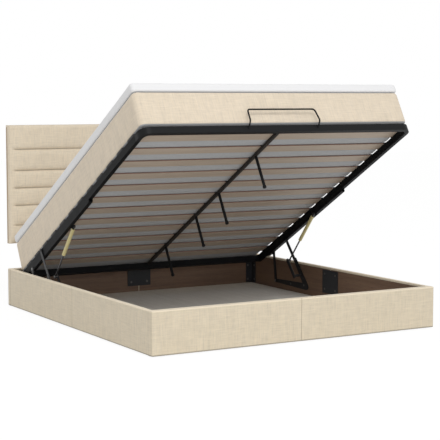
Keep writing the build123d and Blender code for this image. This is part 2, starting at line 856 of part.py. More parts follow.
def mattress():
    """The mattress on the slats, with round edges."""
    body = bulged_block(mattress_bottom, mattress_height, mattress_corner_radius)
    rims = body.edges().group_by(Axis.Z)
    return fillet(rims[0] + rims[-1], mattress_edge_radius)


def crown_cut():
    """All that lies above the topper's crowned top, seen along the bed."""
    edge = mattress_half + overrun
    low = topper_top - topper_crown
    over = topper_top + overrun
    arc = ThreePointArc((-edge, low), (0, topper_top), (edge, low))
    sides = Polyline((edge, low), (edge, over), (-edge, over), (-edge, low))
    face = make_face(Wire([*arc.edges(), *sides.edges()]))
    return extrude(Plane.XZ * face, 2 * bed_length, both=True)


def topper():
    """The thin topper on the mattress, with a crowned top and round edges."""
    plan = RectangleRounded(2 * mattress_half, mattress_length, topper_corner_radius)
    place = Pos(0, mattress_foot_y + mattress_length / 2, topper_bottom)
    body = place * extrude(plan, topper_height + overrun) - crown_cut()
    low = topper_bottom + soft_gap
    high = topper_top - topper_crown - topper_edge_radius
    rims = [edge for edge in body.edges() if edge.center().Z > high or edge.center().Z < low]
    return fillet(rims, topper_edge_radius)


# Saving

def save(name, part):
    """Write one node, moved so that the origin is the middle of the footprint on the floor."""
    export_step(Pos(0, -footprint_length / 2, 0) * part, f"parts/{name}.step")


def save_box():
    """The upholstered box with its plates, bolts, glides and floor."""
    for row, (board, cover) in side_panels().items():
        board = drilled(board, right_side_places())
        save(f"side_board_right_{row}", board)
        save(f"side_cover_right_{row}", cover)
        save(f"side_board_left_{row}", on_left(board))
        save(f"side_cover_left_{row}", on_left(cover))
    for end, inner_y, turn, places in (("foot", end_thickness, -90, foot_half_places()),
                                       ("head", head_inner_y, 90, head_half_places())):
        board, cover = end_panels(inner_y, turn)
        if turn > 0:
            board, cover = on_left(board), on_left(cover)
        board = drilled(board, places)
        save(f"{end}_board_right", board)
        save(f"{end}_cover_right", cover)
        save(f"{end}_board_left", on_left(board))
        save(f"{end}_cover_left", on_left(cover))
    save("joint_plates", joint_plates())
    save("corner_brackets", corner_brackets())
    save("wall_bolts", wall_bolts())
    save("glides", group([glides(), floor_feet()]))
    save("floor_rails", floor_rails())
    save("floor_beam", floor_beam())
    save("floor_panels_front", both_sides(floor_panel(True)))
    save("floor_panels_rear", both_sides(floor_panel(False)))


def save_headboard():
    """The headboard and its posts."""
    save("headboard_board", headboard_board())
    save("headboard_pad", headboard_pad())
    save("headboard_post_right", headboard_post())
    save("headboard_post_left", on_left(headboard_post()))
    save("headboard_bolts", headboard_bolts())


def save_lift():
    """The lift mechanism of both sides."""
    save("base_pins", both_sides(base_pins()))
    pieces = {
        "base_plate": base_plate(), "rear_link": rear_link(), "front_link": front_link(),
        "strut_rod": strut_rod(), "strut_barrel": strut_barrel(), "strut_end": strut_end()}
    for name, part in pieces.items():
        save(f"{name}_right", part)
        save(f"{name}_left", on_left(part))


def save_platform():
    """The raised platform with slats, handle, mattress and topper."""
    bow, side, head = frame_pieces()
    pieces = {
        "foot_bow": bow, "side_tube_right": side, "side_tube_left": on_left(side), "head_tube": head,
        "centre_beam": centre_beam(), "centre_legs": centre_legs(), "leg_caps": leg_caps(),
        "lift_rail_right": lift_rail(), "lift_rail_left": on_left(lift_rail()),
        "platform_pins": platform_pins(), "slats_right": slats(), "slats_left": on_left(slats()),
        "slat_holders_side": side_holders(), "slat_holders_centre": centre_holders(),
        "pull_handle": pull_handle(), "mattress": mattress(), "topper": topper()}
    for name, part in pieces.items():
        save(name, raise_platform(part))


def print_facts():
    """The linkage as the joints need it, in metres and degrees."""
    shift = footprint_length / 2
    for name, (y, z) in {"front base pin": front_base, "front link top": front_top,
                         "front link top closed": front_top_closed, "rear base pin": rear_base,
                         "rear link top": rear_top, "rear link top closed": rear_top_closed,
                         "strut top": strut_top, "strut top closed": strut_top_closed}.items():
        print(f"{name}: y {(y - shift) / 1000:.5f}  z {z / 1000:.5f}")
    print("strut lengths", strut_open_length, strut_closed_length, "heading", strut_heading)
    print("footprint", footprint_length, "headboard front", headboard_front_y - shift)


save_box()
save_headboard()
save_lift()
save_platform()
print_facts()
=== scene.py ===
from math import exp, pi, radians

import bpy
import bmesh
from mathutils import Matrix, Vector, noise


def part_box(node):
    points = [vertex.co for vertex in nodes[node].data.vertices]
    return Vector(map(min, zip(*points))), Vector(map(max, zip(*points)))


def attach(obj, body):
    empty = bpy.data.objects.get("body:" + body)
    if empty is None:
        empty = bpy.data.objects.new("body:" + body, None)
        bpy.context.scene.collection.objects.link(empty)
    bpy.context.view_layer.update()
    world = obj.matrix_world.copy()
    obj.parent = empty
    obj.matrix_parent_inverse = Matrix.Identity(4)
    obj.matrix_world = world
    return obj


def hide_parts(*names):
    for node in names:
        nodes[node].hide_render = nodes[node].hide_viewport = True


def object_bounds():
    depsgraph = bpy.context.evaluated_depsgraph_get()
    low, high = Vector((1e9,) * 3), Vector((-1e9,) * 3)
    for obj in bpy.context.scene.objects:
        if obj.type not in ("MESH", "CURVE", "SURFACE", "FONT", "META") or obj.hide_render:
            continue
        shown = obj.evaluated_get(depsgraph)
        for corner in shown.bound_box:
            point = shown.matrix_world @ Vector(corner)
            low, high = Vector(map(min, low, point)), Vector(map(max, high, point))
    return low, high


bl_info = {
    "name": "Ottoman bed",
    "version": (1, 0, 0),
    "blender": (4, 5, 0),
    "location": "View3D > Sidebar > Ottoman bed",
    "description": "Dresses the packed ottoman bed with upholstery, bedding, finishes and a studio",
    "category": "Object",
}

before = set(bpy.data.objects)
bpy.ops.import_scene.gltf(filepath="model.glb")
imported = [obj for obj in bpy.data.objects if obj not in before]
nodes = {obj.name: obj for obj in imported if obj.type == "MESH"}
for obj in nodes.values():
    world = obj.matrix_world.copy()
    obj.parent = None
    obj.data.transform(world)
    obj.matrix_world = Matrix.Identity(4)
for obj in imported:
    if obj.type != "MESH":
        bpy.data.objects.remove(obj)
cad_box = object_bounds()

FOOT_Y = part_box("foot_cover_left")[0][1]
WALL_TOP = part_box("foot_cover_left")[1][2]

# The box's covers: how they are divided, how uneven they are, and reaches that tell an end
# from a seam, a corner from its neighbours and a rounded edge from the flat face
WALL_COLUMNS, WALL_ROWS = 12, 4
RIPPLE, RIPPLES_PER_METRE = 0.0008, 6
END_REACH, CORNER_REACH, ROUND_REACH = 0.01, 0.02, 0.0002

# The headboard's pad: its rounded edge, its grid, its room to swell and its flat back
PAD_EDGE, PAD_MARGIN, PAD_STEP = 0.018, 0.03, 0.016
PAD_ROOM, PAD_SIDE_ROOM, PAD_PRESSURE = 0.004, 0.001, 4.0
PAD_BACK, PAD_BACK_EDGE = 0.001, 0.004

# Its seams: the cuts beside each, their width and puckers, and the stretches in which they
# fade toward the sides and toward the back
SEAM_CUTS = (-0.012, -0.006, -0.0025, 0, 0.0025, 0.006, 0.012)
SEAM_WIDTH, SEAM_PUCKER = 0.010, 0.2
SIDE_FADE, BACK_FADE = (0.018, 0.06), (0.012, 0.03)

# Heights of the headboard's channels from the lowest to the top one
CHANNEL_HEIGHTS = (0.122, 0.129, 0.113, 0.114, 0.137, 0.161)

# The mattress: its share of the swelling above and below, how far its felt reaches up and
# comes down, how thick its sinking underside counts, and the least gap between slats
FLAT_SHARE = 0.2
FELT_UP, FELT_DOWN = 0.009, 0.006
UNDERSIDE, LEAST_GAP = 0.003, 0.001

# The topper's room to swell, below and above
TOPPER_ROOM = (0.004, 0.004, 0.002), (0.004, 0.004, 0.006)

# Cloth steps and pressure for the bedding
CLOTH_FRAMES, BEDDING_PRESSURE = 16, 5.0

# Surroundings: strength of the world as a light and as seen, glow of the seen floor
WORLD_LIGHT, WORLD_SEEN = 0.69, 1.0
FLOOR_SIZE, FLOOR_GLOW, FLOOR_SEEN = 40, 1.05, 0.86
SEEN_RAYS = ("Is Camera Ray", "Is Glossy Ray", "Is Transmission Ray")

# Name, place, size and power of each lamp, and where they point
LAMPS = (
    ("Key lamp", (-1.5, -5.2, 6.2), 3.0, 175),
    ("Low fill lamp", (-0.5, -6.5, 0.5), 2.5, 30),
)
LAMP_TARGET = (0, 0, 0.5)


# Sizes and colours that a user would change

class OttomanUpholstery(bpy.types.PropertyGroup):
    """Linen covers of the box and the headboard"""

    linen: bpy.props.FloatVectorProperty(
        name="Linen", description="Colour of the box's linen", subtype="COLOR", size=3,
        default=(0.69, 0.605, 0.465))
    # About a tenth lighter than the box's linen: painted light for the headboard, which the raised
    # mattress shades
    lit_pad_linen: bpy.props.FloatVectorProperty(
        name="Headboard linen", description="Colour of the headboard's linen", subtype="COLOR",
        size=3, default=(0.76, 0.66, 0.515))
    cloth_thickness: bpy.props.FloatProperty(
        name="Cloth thickness", description="Thickness of the padded cover", default=0.0028,
        unit="LENGTH")
    lip: bpy.props.FloatProperty(
        name="Lip", description="How far the cover comes down inside the box", default=0.012,
        unit="LENGTH")
    edge_round: bpy.props.FloatProperty(
        name="Edge rounding", description="Radius of the outer edges", default=0.009,
        unit="LENGTH")
    seam_round: bpy.props.FloatProperty(
        name="Seam rounding", description="Radius of the upright edges at a seam", default=0.004,
        unit="LENGTH")
    seam_overlap: bpy.props.FloatProperty(
        name="Seam overlap", description="How far a cover reaches into its seam", default=0.0003,
        unit="LENGTH")
    welt: bpy.props.FloatProperty(
        name="Welt", description="How far the stitched welt lies from a corner", default=0.011,
        unit="LENGTH")
    board_seam: bpy.props.FloatProperty(
        name="Board seam", description="How far the end covers reach along the sides",
        default=0.045, unit="LENGTH")
    channel_depth: bpy.props.FloatProperty(
        name="Channel depth", description="How deep the headboard's seams are", default=0.018,
        unit="LENGTH")


class OttomanBedding(bpy.types.PropertyGroup):
    """Mattress and topper"""

    tilt: bpy.props.FloatProperty(
        name="Tilt", description="How far the platform is raised at rest", default=radians(29.5),
        unit="ROTATION")
    # A little lighter than the box's same linen: painted light for the raised mattress's upturned
    # faces
    border: bpy.props.FloatVectorProperty(
        name="Border", description="Colour of the mattress's linen", subtype="COLOR", size=3,
        default=(0.715, 0.62, 0.493))
    knit: bpy.props.FloatVectorProperty(
        name="Topper", description="Colour of the topper's knit", subtype="COLOR", size=3,
        default=(0.83, 0.83, 0.835))
    corner: bpy.props.FloatProperty(
        name="Corner radius", description="Radius of the mattress's upright corners",
        default=0.032, unit="LENGTH")
    topper_corner: bpy.props.FloatProperty(
        name="Topper corner", description="Radius of the topper's upright corners", default=0.02,
        unit="LENGTH")
    sag: bpy.props.FloatProperty(
        name="Sag", description="How far the mattress sinks between the slats", default=0.007,
        unit="LENGTH")
    swell: bpy.props.FloatProperty(
        name="Swell", description="Most that a padded face may stand out", default=0.005,
        unit="LENGTH")


class OttomanStage(bpy.types.PropertyGroup):
    """Place, direction and lens of the camera"""

    place: bpy.props.FloatVectorProperty(
        name="Place", description="Camera's place from the foot panel's middle at the floor",
        subtype="TRANSLATION", size=3, default=(-3.9996, -6.0498, 1.3196))
    yaw: bpy.props.FloatProperty(
        name="Yaw", description="Camera's turn from the bed's length", default=0.5227,
        unit="ROTATION")
    pitch: bpy.props.FloatProperty(
        name="Pitch", description="Camera's look down", default=0.0897, unit="ROTATION")
    lens: bpy.props.FloatProperty(
        name="Lens", description="Focal length in millimetres", default=109.83)


# Modelling helpers

def select_only(piece):
    """Make one object the selected and active one."""
    bpy.ops.object.select_all(action="DESELECT")
    piece.select_set(True)
    bpy.context.view_layer.objects.active = piece


def named(name):
    """Name the active object and its mesh, and put its place into the mesh."""
    piece = bpy.context.object
    piece.name = name
    piece.data.name = name
    bpy.ops.object.transform_apply(location=True, rotation=True, scale=True)
    return piece


def add_block(name, low, high):
    """A box between two corners, added as a cube and stretched."""
    bpy.ops.object.select_all(action="DESELECT")
    low, high = Vector(low), Vector(high)
    bpy.ops.mesh.primitive_cube_add(size=1, location=(low + high) / 2, scale=high - low)
    return named(name)


def edit(piece, kind, test):
    """Open a mesh for editing with the elements selected that pass a test."""
    select_only(piece)
    bpy.ops.object.mode_set(mode="EDIT")
    bpy.ops.mesh.select_mode(type=kind)
    bpy.ops.mesh.select_all(action="DESELECT")
    mesh = bmesh.from_edit_mesh(piece.data)
    for element in {"EDGE": mesh.edges, "FACE": mesh.faces}[kind]:
        element.select_set(test(element))
    mesh.select_flush_mode()
    bmesh.update_edit_mesh(piece.data)


def done():
    """Close the mesh that is being edited."""
    bpy.ops.object.mode_set(mode="OBJECT")


def middle(edge):
    """Middle of an edge."""
    return (edge.verts[0].co + edge.verts[1].co) / 2


def along(edge, axis):
    """True where an edge runs along X, Y or Z, given as 0, 1 or 2."""
    run = edge.verts[1].co - edge.verts[0].co
    return abs(run[axis]) > 0.99 * run.length


def near(first, second, reach=1e-4):
    """True where two numbers are the same within a reach."""
    return abs(first - second) < reach


def bevel_edges(piece, test, width, segments):
    """Round the edges that pass a test."""
    edit(piece, "EDGE", test)
    bpy.ops.mesh.bevel(
        offset=width, offset_type="OFFSET", segments=segments, affect="EDGES",
        clamp_overlap=True)
    done()


def bisect(place, normal):
    """Cut edges where a plane crosses the selected faces of the mesh that is being edited."""
    bpy.ops.mesh.bisect(
        plane_co=place, plane_no=normal, clear_inner=False, clear_outer=False, use_fill=False)


def cut(piece, place, normal):
    """Cut edges round a whole mesh where a plane crosses it."""
    edit(piece, "FACE", lambda face: True)
    bisect(place, normal)
    done()


def grid_cuts(piece, axis, low, high, step):
    """Cut a whole mesh across one axis at even steps between two places."""
    normal = Vector([1 if index == axis else 0 for index in range(3)])
    count = max(round((high - low) / step), 1)
    edit(piece, "FACE", lambda face: True)
    for index in range(count + 1):
        bpy.ops.mesh.select_all(action="SELECT")
        bisect(normal * (low + (high - low) * index / count), normal)
    done()


def smooth(piece, angle=35):
    """Smooth shading with sharp edges past an angle."""
    select_only(piece)
    bpy.ops.object.shade_smooth_by_angle(angle=radians(angle))


def apply(piece, kind, **settings):
    """Add a modifier with its settings and apply it."""
    select_only(piece)
    modifier = piece.modifiers.new(kind.title(), kind)
    for name, value in settings.items():
        setattr(modifier, name, value)
    bpy.ops.object.modifier_apply(modifier=modifier.name)


def swell(piece, cap, pressure):
    """Blow a padded piece up as cloth and limit how far each point has moved."""
    before = [vertex.co.copy() for vertex in piece.data.vertices]
    cloth = piece.modifiers.new("Cloth", "CLOTH")
    cloth.settings.use_pressure = True
    cloth.settings.uniform_pressure_force = pressure
    cloth.settings.effector_weights.gravity = 0
    for step in range(1, CLOTH_FRAMES + 1):
        bpy.context.scene.frame_set(step)
    select_only(piece)
    bpy.ops.object.modifier_apply(modifier="Cloth")
    bpy.context.scene.frame_set(1)
    for vertex, start in zip(piece.data.vertices, before):
        moved = vertex.co - start
        if moved.length > cap:
            vertex.co = start + moved * (cap / moved.length)


def padded_block(name, box, room, corner, segments, rim, grid, levels, cap):
    """A swollen block with round corners and rims that stays inside its box.

    box and room each hold a low and a high corner. grid is how far the first cut lies past
    the corner's rounding, and the step. levels is how far the first and the last level cut
    lie from the box's ends, and the step.
    """
    low, high = box
    start, end = low + room[0], high - room[1]
    piece = add_block(name, start, end)
    bevel_edges(piece, lambda edge: along(edge, 2), corner, segments)
    bevel_edges(piece, lambda edge: not along(edge, 2) and (
        near(middle(edge).z, start.z) or near(middle(edge).z, end.z)), rim, 4)
    edge = corner + grid[0]
    for axis in (0, 1):
        grid_cuts(piece, axis, low[axis] + edge, high[axis] - edge, grid[1])
    grid_cuts(piece, 2, low.z + levels[0], high.z - levels[1], levels[2])
    swell(piece, cap, BEDDING_PRESSURE)
    apply(piece, "SUBSURF", levels=1, render_levels=1)
    for vertex in piece.data.vertices:
        for axis in range(3):
            vertex.co[axis] = min(max(vertex.co[axis], low[axis]), high[axis])
    return piece


def flat_box(node, tilt):
    """A raised node's corners, measured along the platform's own axes."""
    turn = Matrix.Rotation(tilt, 3, "X")
    places = [turn @ vertex.co for vertex in nodes[node].data.vertices]
    low = Vector([min(place[axis] for place in places) for axis in range(3)])
    high = Vector([max(place[axis] for place in places) for axis in range(3)])
    return low, high


def raise_piece(piece, tilt):
    """Turn a piece that was modelled along the platform's own axes into its raised place."""
    select_only(piece)
    piece.rotation_euler = (-tilt, 0, 0)
    bpy.ops.object.transform_apply(location=True, rotation=True, scale=True)


def smoothstep(low, high, value):
    """0 below low, 1 above high and a soft step between."""
    share = min(max((value - low) / (high - low), 0), 1)
    return share * share * (3 - 2 * share)


# Shader helpers

class Socket:
    """A shader socket that takes part in Python sums by adding Math nodes"""

    def __init__(self, tree, link):
        self.tree, self.link = tree, link

    def maths(self, operation, *terms):
        """A Math node of any kind on sockets and numbers."""
        return self.tree.node(
            "ShaderNodeMath", {"operation": operation}, dict(enumerate(terms)))

    def __add__(self, other):
        return self.maths("ADD", self, other)

    def __radd__(self, other):
        return self.maths("ADD", other, self)

    def __sub__(self, other):
        return self.maths("SUBTRACT", self, other)

    def __rsub__(self, other):
        return self.maths("SUBTRACT", other, self)

    def __mul__(self, other):
        return self.maths("MULTIPLY", self, other)

    def __rmul__(self, other):
        return self.maths("MULTIPLY", other, self)


class Tree:
    """The nodes of a material or of the world"""

    def __init__(self, tree):
        self.tree = tree

    def node(self, kind, settings, sockets, output=0):
        """Any node: its settings first, then the values or links of its sockets."""
        made = self.tree.nodes.new(kind)
        for name, value in settings.items():
            setattr(made, name, value)
        for name, value in sockets.items():
            self.feed(made.inputs[name], value)
        return Socket(self, made.outputs[output])

    def feed(self, target, value):
        """Give an input its value or its link."""
        if isinstance(value, Socket):
            self.tree.links.new(value.link, target)
        else:
            target.default_value = value

    def seen(self):
        """1 for rays from the camera, off a mirror or through glass, and 0 for the others."""
        rays = [self.node("ShaderNodeLightPath", {}, {}, name) for name in SEEN_RAYS]
        return rays[0].maths("MINIMUM", rays[0] + rays[1] + rays[2], 1.0)


class Finish(Tree):
    """One material and its nodes"""

    def __init__(self, name):
        self.material = bpy.data.materials.new(name)
        self.material.use_nodes = True
        super().__init__(self.material.node_tree)
        self.shader = self.tree.nodes["Principled BSDF"]
        self.place = self.node("ShaderNodeTexCoord", {}, {}, "Object")

    def turned(self, turn):
        """Object coordinates turned about X."""
        return self.node("ShaderNodeMapping", {"vector_type": "POINT"}, {
            "Vector": self.place, "Rotation": (turn, 0, 0)})

    def stretched(self, scale, turn=0.0):
        """Object coordinates turned about X and stretched."""
        return self.node("ShaderNodeVectorMath", {"operation": "MULTIPLY"}, {
            0: self.turned(turn), 1: scale})

    def grain(self, scale, turn=0.0, detail=3.0, rough=0.55):
        """Noise from 0 to 1 that is stretched along the axes with a small scale."""
        return self.node("ShaderNodeTexNoise", {}, {
            "Vector": self.stretched(scale, turn), "Scale": 1.0, "Detail": detail,
            "Roughness": rough})

    def waves(self, place, direction):
        """Even ribs across one axis."""
        return self.node("ShaderNodeTexWave", {"bands_direction": direction}, {
            "Vector": place, "Scale": 60.0, "Distortion": 0.8, "Detail": 1.0})

    def steps(self, value, low, high):
        """0 below low, 1 above high and a soft step between."""
        return self.node("ShaderNodeMapRange", {"interpolation_type": "SMOOTHSTEP"}, {
            "Value": value, "From Min": low, "From Max": high, "To Min": 0.0, "To Max": 1.0})

    def part(self, place, axis):
        """One axis of a place, by its letter."""
        return self.node("ShaderNodeSeparateXYZ", {}, {0: place}, axis)

    def nearest(self, value, places):
        """How far a value is from the nearest of several places."""
        least = None
        for place in places:
            away = value.maths("ABSOLUTE", value - place)
            least = away if least is None else away.maths("MINIMUM", away, least)
        return least

    def blend(self, share, first, second):
        """A colour between two colours."""
        first = first if isinstance(first, Socket) else (*first, 1)
        second = second if isinstance(second, Socket) else (*second, 1)
        return self.node(
            "ShaderNodeMix", {"data_type": "RGBA"}, {0: share, 6: first, 7: second}, 2)

    def bump(self, height, distance, strength=1.0):
        """A normal from a height between 0 and 1 that stands for a distance in metres."""
        return self.node("ShaderNodeBump", {}, {
            "Height": height, "Distance": distance, "Strength": strength})

    def finished(self, **sockets):
        """Give the shader its values and links, by socket name with underscores for spaces."""
        for name, value in sockets.items():
            self.feed(self.shader.inputs[name.replace("_", " ")], value)
        return self.material


def tinted(colour, factor):
    """A colour made lighter or darker."""
    return tuple(min(part * factor, 1) for part in colour)


# Finishes

def linen_weave(finish, colour, turn):
    """Colour and relief of woven linen: fine threads, coarse slubs and patches of tone."""
    weft = finish.grain((9, 9, 330), turn, 4)
    warp = finish.grain((330, 330, 9), turn, 4)
    coarse_weft = finish.grain((15, 15, 120), turn, 3)
    coarse_warp = finish.grain((120, 120, 13), turn, 3)
    slub_across = finish.steps(finish.grain((14, 14, 170), turn, 2), 0.58, 0.78)
    slub_up = finish.steps(finish.grain((140, 140, 12), turn, 2), 0.56, 0.74)
    patch = finish.grain((24, 24, 10), turn, 3)
    tone = 0.5 + 0.55 * (weft - 0.5) + 0.65 * (warp - 0.5) + 0.6 * (coarse_weft - 0.5)
    tone = tone + 0.6 * (coarse_warp - 0.5) + 0.4 * (patch - 0.5)
    tone = tone + 0.16 * slub_across - 0.16 * slub_up
    cloth = finish.blend(tone, tinted(colour, 0.79), tinted(colour, 1.21))
    warm = (colour[0], colour[1] * 0.95, colour[2] * 0.84)
    warmed = finish.blend(finish.steps(coarse_warp, 0.35, 0.7) * 0.2, cloth, warm)
    relief = 0.45 * weft + 0.5 * warp + 0.4 * slub_across + 0.5 * slub_up
    return warmed, relief


def linen_finish(name, colour, side_seams, end_seams):
    """Woven linen for the box, with painted shade along its upright seams and its bottom edge, and
    a painted highlight along its rim.
    """
    finish = Finish(name)
    cloth, relief = linen_weave(finish, colour, 0.0)
    height = finish.part(finish.place, "Z")
    from_side_seam = finish.nearest(finish.part(finish.place, "Y"), side_seams)
    from_end_seam = finish.nearest(finish.part(finish.place, "X"), end_seams)
    away = from_side_seam.maths("MINIMUM", from_side_seam, from_end_seam)
    # Painted shade: the cloth is darkened in thin lines along the seams and the welt, where the
    # seam grooves lie in shade
    seam = 1 - finish.steps(away, 0.0008, 0.0038)
    # Painted highlight: a lighter band of cloth along the top rim, where light from above falls
    rim = finish.steps(height, WALL_TOP - 0.008, WALL_TOP - 0.003)
    # Painted shade: a dark band along the bottom edge, where the box meets the floor
    floor_contact_shade = 1 - finish.steps(height, 0.0105, 0.0125)
    rim_highlighted = finish.blend(rim * 0.85, cloth, tinted(colour, 1.3))
    seam_shaded_cloth = finish.blend(seam * 0.35, rim_highlighted, tinted(colour, 0.5))
    return finish.finished(
        Base_Color=finish.blend(floor_contact_shade * 0.75, seam_shaded_cloth, tinted(colour, 0.35)), Roughness=0.92,
        Normal=finish.bump(relief, 0.0009, 0.7),
        Sheen_Weight=0.25, Sheen_Roughness=0.5, Specular_IOR_Level=0.25)


def channel_finish(name, colour, seams, half):
    """Woven linen for the headboard, with painted shade along its seams but not near its sides."""
    finish = Finish(name)
    cloth, relief = linen_weave(finish, colour, 0.0)
    nearest = finish.nearest(finish.part(finish.place, "Z"), seams)
    across = finish.part(finish.place, "X")
    from_middle = across.maths("ABSOLUTE", across)
    inside = 1 - finish.steps(from_middle, half - 0.055, half - 0.035)
    # Painted shade: the cloth is darker along each seam's crease, fading out toward the sides
    seam_crease_shade = (1 - finish.steps(nearest, 0.0006, 0.0045)) * inside
    return finish.finished(
        Base_Color=finish.blend(seam_crease_shade * 0.6, cloth, tinted(colour, 0.4)), Roughness=0.92,
        Normal=finish.bump(relief, 0.0009, 0.7),
        Sheen_Weight=0.25, Sheen_Roughness=0.5, Specular_IOR_Level=0.25)


def mattress_finish(name, colour, turn, low, high):
    """The mattress's linen border, with a plain pale felt over its underside and its top."""
    finish = Finish(name)
    cloth, relief = linen_weave(finish, colour, turn)
    height = finish.part(finish.turned(turn), "Z")
    above = finish.steps(height, low, low + 0.0015)
    below = 1 - finish.steps(height, high, high + 0.0015)
    fuzz = finish.grain((90, 90, 90), turn, 4)
    felt = finish.blend(fuzz, (0.35, 0.358, 0.365), (0.435, 0.442, 0.45))
    return finish.finished(
        Base_Color=finish.blend(above * below, felt, cloth), Roughness=0.93,
        Normal=finish.bump(relief, 0.0009, 0.6),
        Sheen_Weight=0.2, Sheen_Roughness=0.5, Specular_IOR_Level=0.25)


def knit_finish(name, colour, turn):
    """Fine white knit with rows of small loops."""
    finish = Finish(name)
    place = finish.stretched((1, 1, 1), turn)
    loops = finish.waves(place, "X") * finish.waves(place, "Y")
    fuzz = finish.grain((700, 700, 700), turn, 2)
    tone = 0.4 + 0.2 * loops + 0.4 * (fuzz - 0.5)
    return finish.finished(
        Base_Color=finish.blend(tone, tinted(colour, 0.9), tinted(colour, 1.04)),
        Roughness=0.9, Normal=finish.bump(loops + 0.3 * fuzz, 0.0006, 0.6),
        Sheen_Weight=0.2, Specular_IOR_Level=0.3)


def coated_steel_finish(name, colour, roughness=0.45, texture=0.00015, gloss=0.25):
    """Powder-coated steel with a faint orange peel."""
    finish = Finish(name)
    peel = finish.grain((420, 420, 420), 0, 2)
    dust = finish.grain((14, 14, 14), 0, 4)
    tone = 0.35 + 0.5 * (dust - 0.5) + 0.25 * peel
    return finish.finished(
        Base_Color=finish.blend(tone, tinted(colour, 0.8), tinted(colour, 1.3)),
        Roughness=roughness + 0.16 * (dust - 0.5), Specular_IOR_Level=gloss,
        Normal=finish.bump(peel, texture, 0.8))


def bare_steel_finish(name, colour, roughness):
    """Plated or polished steel with fine drawing marks."""
    finish = Finish(name)
    marks = finish.grain((30, 900, 900), 0, 3)
    return finish.finished(
        Base_Color=finish.blend(marks, tinted(colour, 0.85), tinted(colour, 1.1)),
        Metallic=1.0, Roughness=roughness + 0.14 * (marks - 0.5),
        Normal=finish.bump(marks, 0.00004, 0.6))


def timber_finish(name, dark, light, scale, turn=0.0, roughness=0.55):
    """Timber with grain that runs along the axis with the small scale."""
    finish = Finish(name)
    fibre = finish.grain(scale, turn, 5, 0.6)
    bands = finish.grain(tuple(part * 0.16 for part in scale), turn, 2)
    fine = finish.grain(tuple(part * 2.4 for part in scale), turn, 2)
    pores = finish.steps(fine, 0.56, 0.7)
    tone = 0.5 + 0.9 * (fibre - 0.5) + 1.1 * (bands - 0.5)
    wood = finish.blend(tone, dark, light)
    return finish.finished(
        Base_Color=finish.blend(0.45 * pores, wood, tinted(dark, 0.7)),
        Roughness=roughness + 0.2 * (fibre - 0.5),
        Normal=finish.bump(fibre - 0.5 * pores, 0.0003, 0.5))


def plastic_finish(name, colour, roughness):
    """Moulded plastic with a fine matt grain."""
    finish = Finish(name)
    spark = finish.grain((900, 900, 900), 0, 2)
    cloud = finish.grain((25, 25, 25), 0, 3)
    return finish.finished(
        Base_Color=finish.blend(cloud, tinted(colour, 0.85), tinted(colour, 1.2)),
        Roughness=roughness + 0.15 * (cloud - 0.5), Normal=finish.bump(spark, 0.0001, 0.6))


def give(piece, material):
    """Make a material the only one of a piece."""
    piece.data.materials.clear()
    piece.data.materials.append(material)


# Pieces

class OTTOMAN_OT_wall_covers(bpy.types.Operator):
    """Linen covers over the halves of the box's four walls"""

    bl_idname = "ottoman.wall_covers"
    bl_label = "Wall covers"

    def execute(self, context):
        sizes = context.scene.ottoman_upholstery
        head_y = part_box("head_cover_left")[1][1]
        side_seams = [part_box("side_cover_left_front")[1][1]]
        for inset in (sizes.welt, sizes.board_seam):
            side_seams += [FOOT_Y + inset, head_y - inset]
        finish = linen_finish("Box linen", tuple(sizes.linen), side_seams, [0.0])
        for end, inward in (("foot", 1), ("head", -1)):
            for side in ("left", "right"):
                self.cover(sizes, finish, f"{end}_cover_{side}", 1, inward)
        for side, inward in (("left", 1), ("right", -1)):
            for half in ("front", "rear"):
                self.cover(sizes, finish, f"side_cover_{side}_{half}", 0, inward)
        return {"FINISHED"}

    def cover(self, sizes, finish, node, axis, inward):
        """One cover: a box without its inner face, apart from a lip, as thick as the cloth."""
        low, high = (Vector(corner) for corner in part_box(node))
        run = 1 - axis
        low[run] -= 0 if near(low[run], cad_box[0][run], END_REACH) else sizes.seam_overlap
        high[run] += 0 if near(high[run], cad_box[1][run], END_REACH) else sizes.seam_overlap
        outer, inner = (low[axis], high[axis]) if inward > 0 else (high[axis], low[axis])
        piece = add_block(node + "_linen", low, high)
        cut(piece, (0, 0, high.z - sizes.lip), (0, 0, 1))
        edit(piece, "FACE", lambda face: near(face.calc_center_median()[axis], inner)
             and face.calc_center_median().z < high.z - sizes.lip)
        bpy.ops.mesh.delete(type="FACE")
        done()
        self.round_edges(piece, sizes, low, high, axis, outer)
        self.divide(piece, low, high, run)
        for vertex in piece.data.vertices:
            if near(vertex.co[axis], outer):
                unevenness = 0.5 + 0.5 * noise.noise(vertex.co * RIPPLES_PER_METRE)
                vertex.co[axis] += inward * RIPPLE * unevenness
        apply(piece, "SOLIDIFY", thickness=sizes.cloth_thickness, offset=-1)
        smooth(piece)
        give(piece, finish)
        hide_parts(node)
        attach(piece, "base")

    def round_edges(self, piece, sizes, low, high, axis, outer):
        """Round a cover's outer edges: its box corner, its seams and its long edges."""
        run = 1 - axis
        corner = max((low[run], high[run]), key=abs) if axis == 1 else None

        def upright(edge):
            return along(edge, 2) and near(middle(edge)[axis], outer)

        def at_corner(edge, reach):
            return corner is not None and near(middle(edge)[run], corner, reach)

        def at_top_or_bottom(edge):
            return near(middle(edge).z, low.z) or near(middle(edge).z, high.z)

        bevel_edges(
            piece, lambda edge: upright(edge) and at_corner(edge, 1e-4), sizes.edge_round, 4)
        bevel_edges(
            piece, lambda edge: upright(edge) and not at_corner(edge, CORNER_REACH),
            sizes.seam_round, 3)
        bevel_edges(
            piece, lambda edge: near(middle(edge)[axis], outer, sizes.edge_round + ROUND_REACH)
            and not along(edge, 2) and at_top_or_bottom(edge), sizes.edge_round, 4)

    def divide(self, piece, low, high, run):
        """Divide a cover into columns along its length and rows."""
        normal = (1, 0, 0) if run == 0 else (0, 1, 0)
        for step in range(1, WALL_COLUMNS):
            place = Vector((0, 0, 0))
            place[run] = low[run] + (high[run] - low[run]) * step / WALL_COLUMNS
            cut(piece, place, normal)
        for step in range(1, WALL_ROWS):
            height = low.z + (high.z - low.z) * step / WALL_ROWS
            cut(piece, (0, 0, height), (0, 0, 1))


